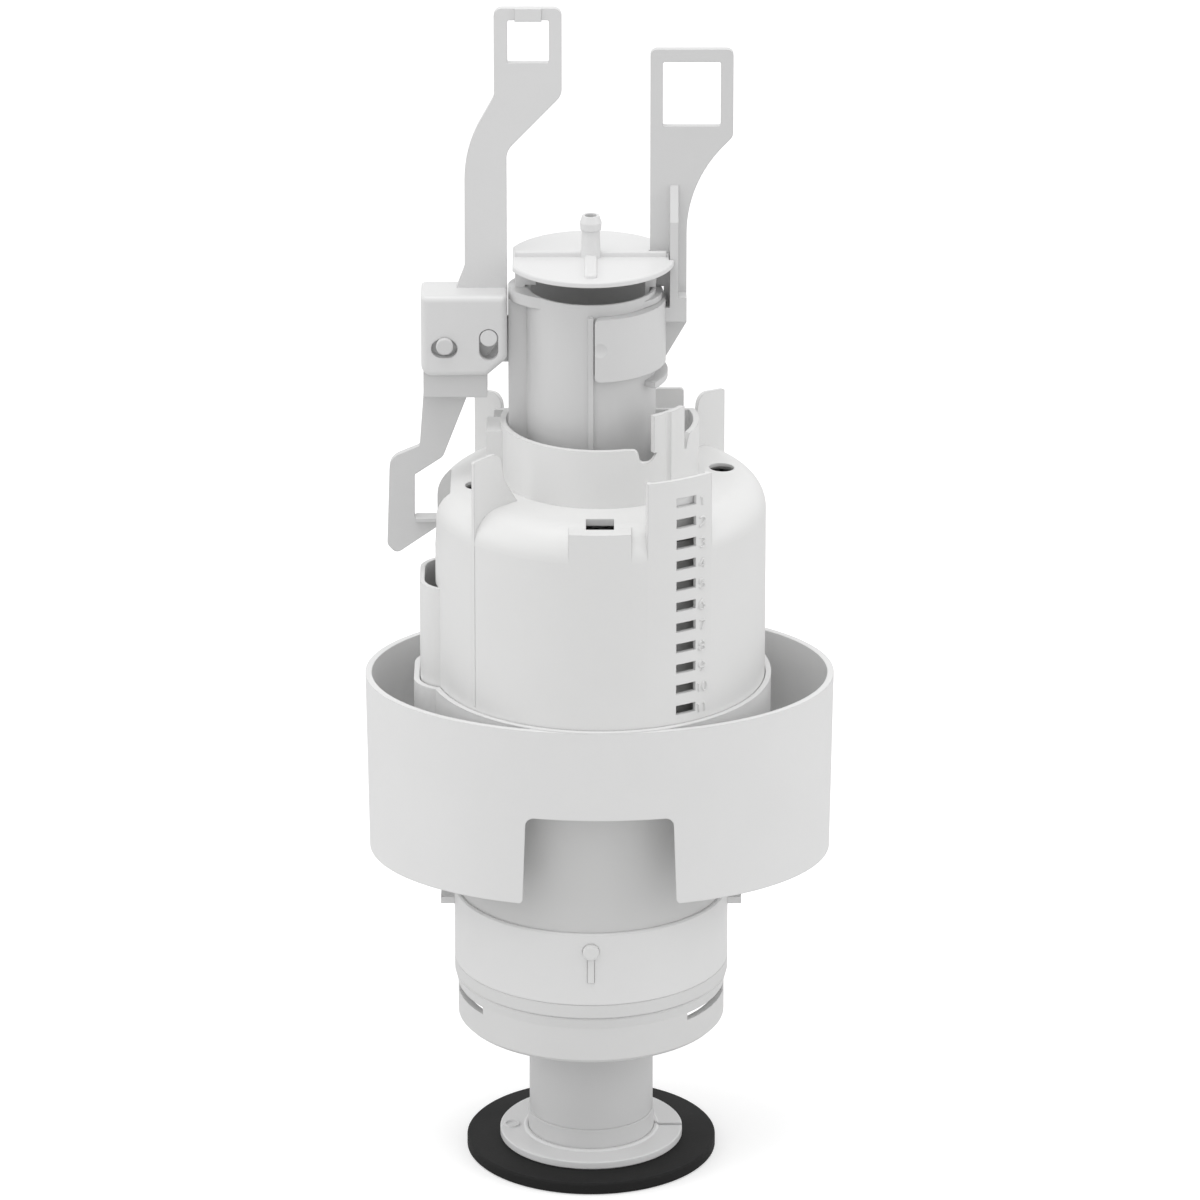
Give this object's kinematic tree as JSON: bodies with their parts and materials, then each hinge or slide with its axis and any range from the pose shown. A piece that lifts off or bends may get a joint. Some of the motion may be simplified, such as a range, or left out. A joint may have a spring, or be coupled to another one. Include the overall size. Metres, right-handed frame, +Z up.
{
  "type": "toilet flush valve",
  "caption": "Dual-flush toilet cistern valve with lifting overflow tube, two pull arms, numbered scale, reservoir cup and rubber seal.",
  "frame": {"origin": "centre of the seal's underside, on the overflow tube's axis", "axes": "+Z up along the tube, +X to the right seen from the numbered scale's side, -Y towards that side"},
  "size_m": [0.1165, 0.0854, 0.3003],
  "materials": {
    "housing_plastic": "matte",
    "moving_plastic": "satin",
    "seal_rubber": "matte"
  },
  "bodies": {
    "housing": {"bell_housing": "housing_plastic", "reservoir_cup": "housing_plastic", "lower_body": "housing_plastic", "bayonet_collar": "housing_plastic", "lock_knob": "housing_plastic", "skirt_ring": "housing_plastic", "guide_bush": "housing_plastic", "lower_guide": "housing_plastic"},
    "tube": {"overflow_tube": "moving_plastic", "overflow_cap": "moving_plastic", "full_flush_arm": "moving_plastic", "tube_foot": "moving_plastic", "seal_washer": "moving_plastic", "rubber_seal": "seal_rubber", "main_float": "moving_plastic", "float_clip": "moving_plastic", "lever_pivot_pin": "moving_plastic"},
    "half_arm": {"half_flush_arm": "moving_plastic"},
    "lever": {"half_flush_lever": "moving_plastic"},
    "slider": {"volume_slider": "moving_plastic"},
    "small_float": {"half_flush_float": "moving_plastic", "float_rod": "moving_plastic"}
  },
  "joints": [
    {"name": "tube_lift", "type": "slide", "parent": "housing", "child": "tube", "axis": [0, 0, 1], "range_m": [0, 0.022]},
    {"name": "half_flush_pull", "type": "slide", "parent": "tube", "child": "half_arm", "axis": [0, 0, 1], "range_m": [0, 0.0034]},
    {"name": "lever_swing", "type": "hinge", "parent": "tube", "child": "lever", "pos_m": [-0.02495, 0, 0.2186], "axis": [0, 1, 0], "range_deg": [0, 17.8]},
    {"name": "volume_setting", "type": "slide", "parent": "housing", "child": "slider", "axis": [0, 0, -1], "range_m": [0, 0.0539]},
    {"name": "small_float_rise", "type": "slide", "parent": "housing", "child": "small_float", "axis": [0, 0, 1], "range_m": [0, 0.008]}
  ],
  "couplings": [
    {"joint": "lever_swing", "follows": "half_flush_pull", "rad_per_m": 90.9}
  ]
}
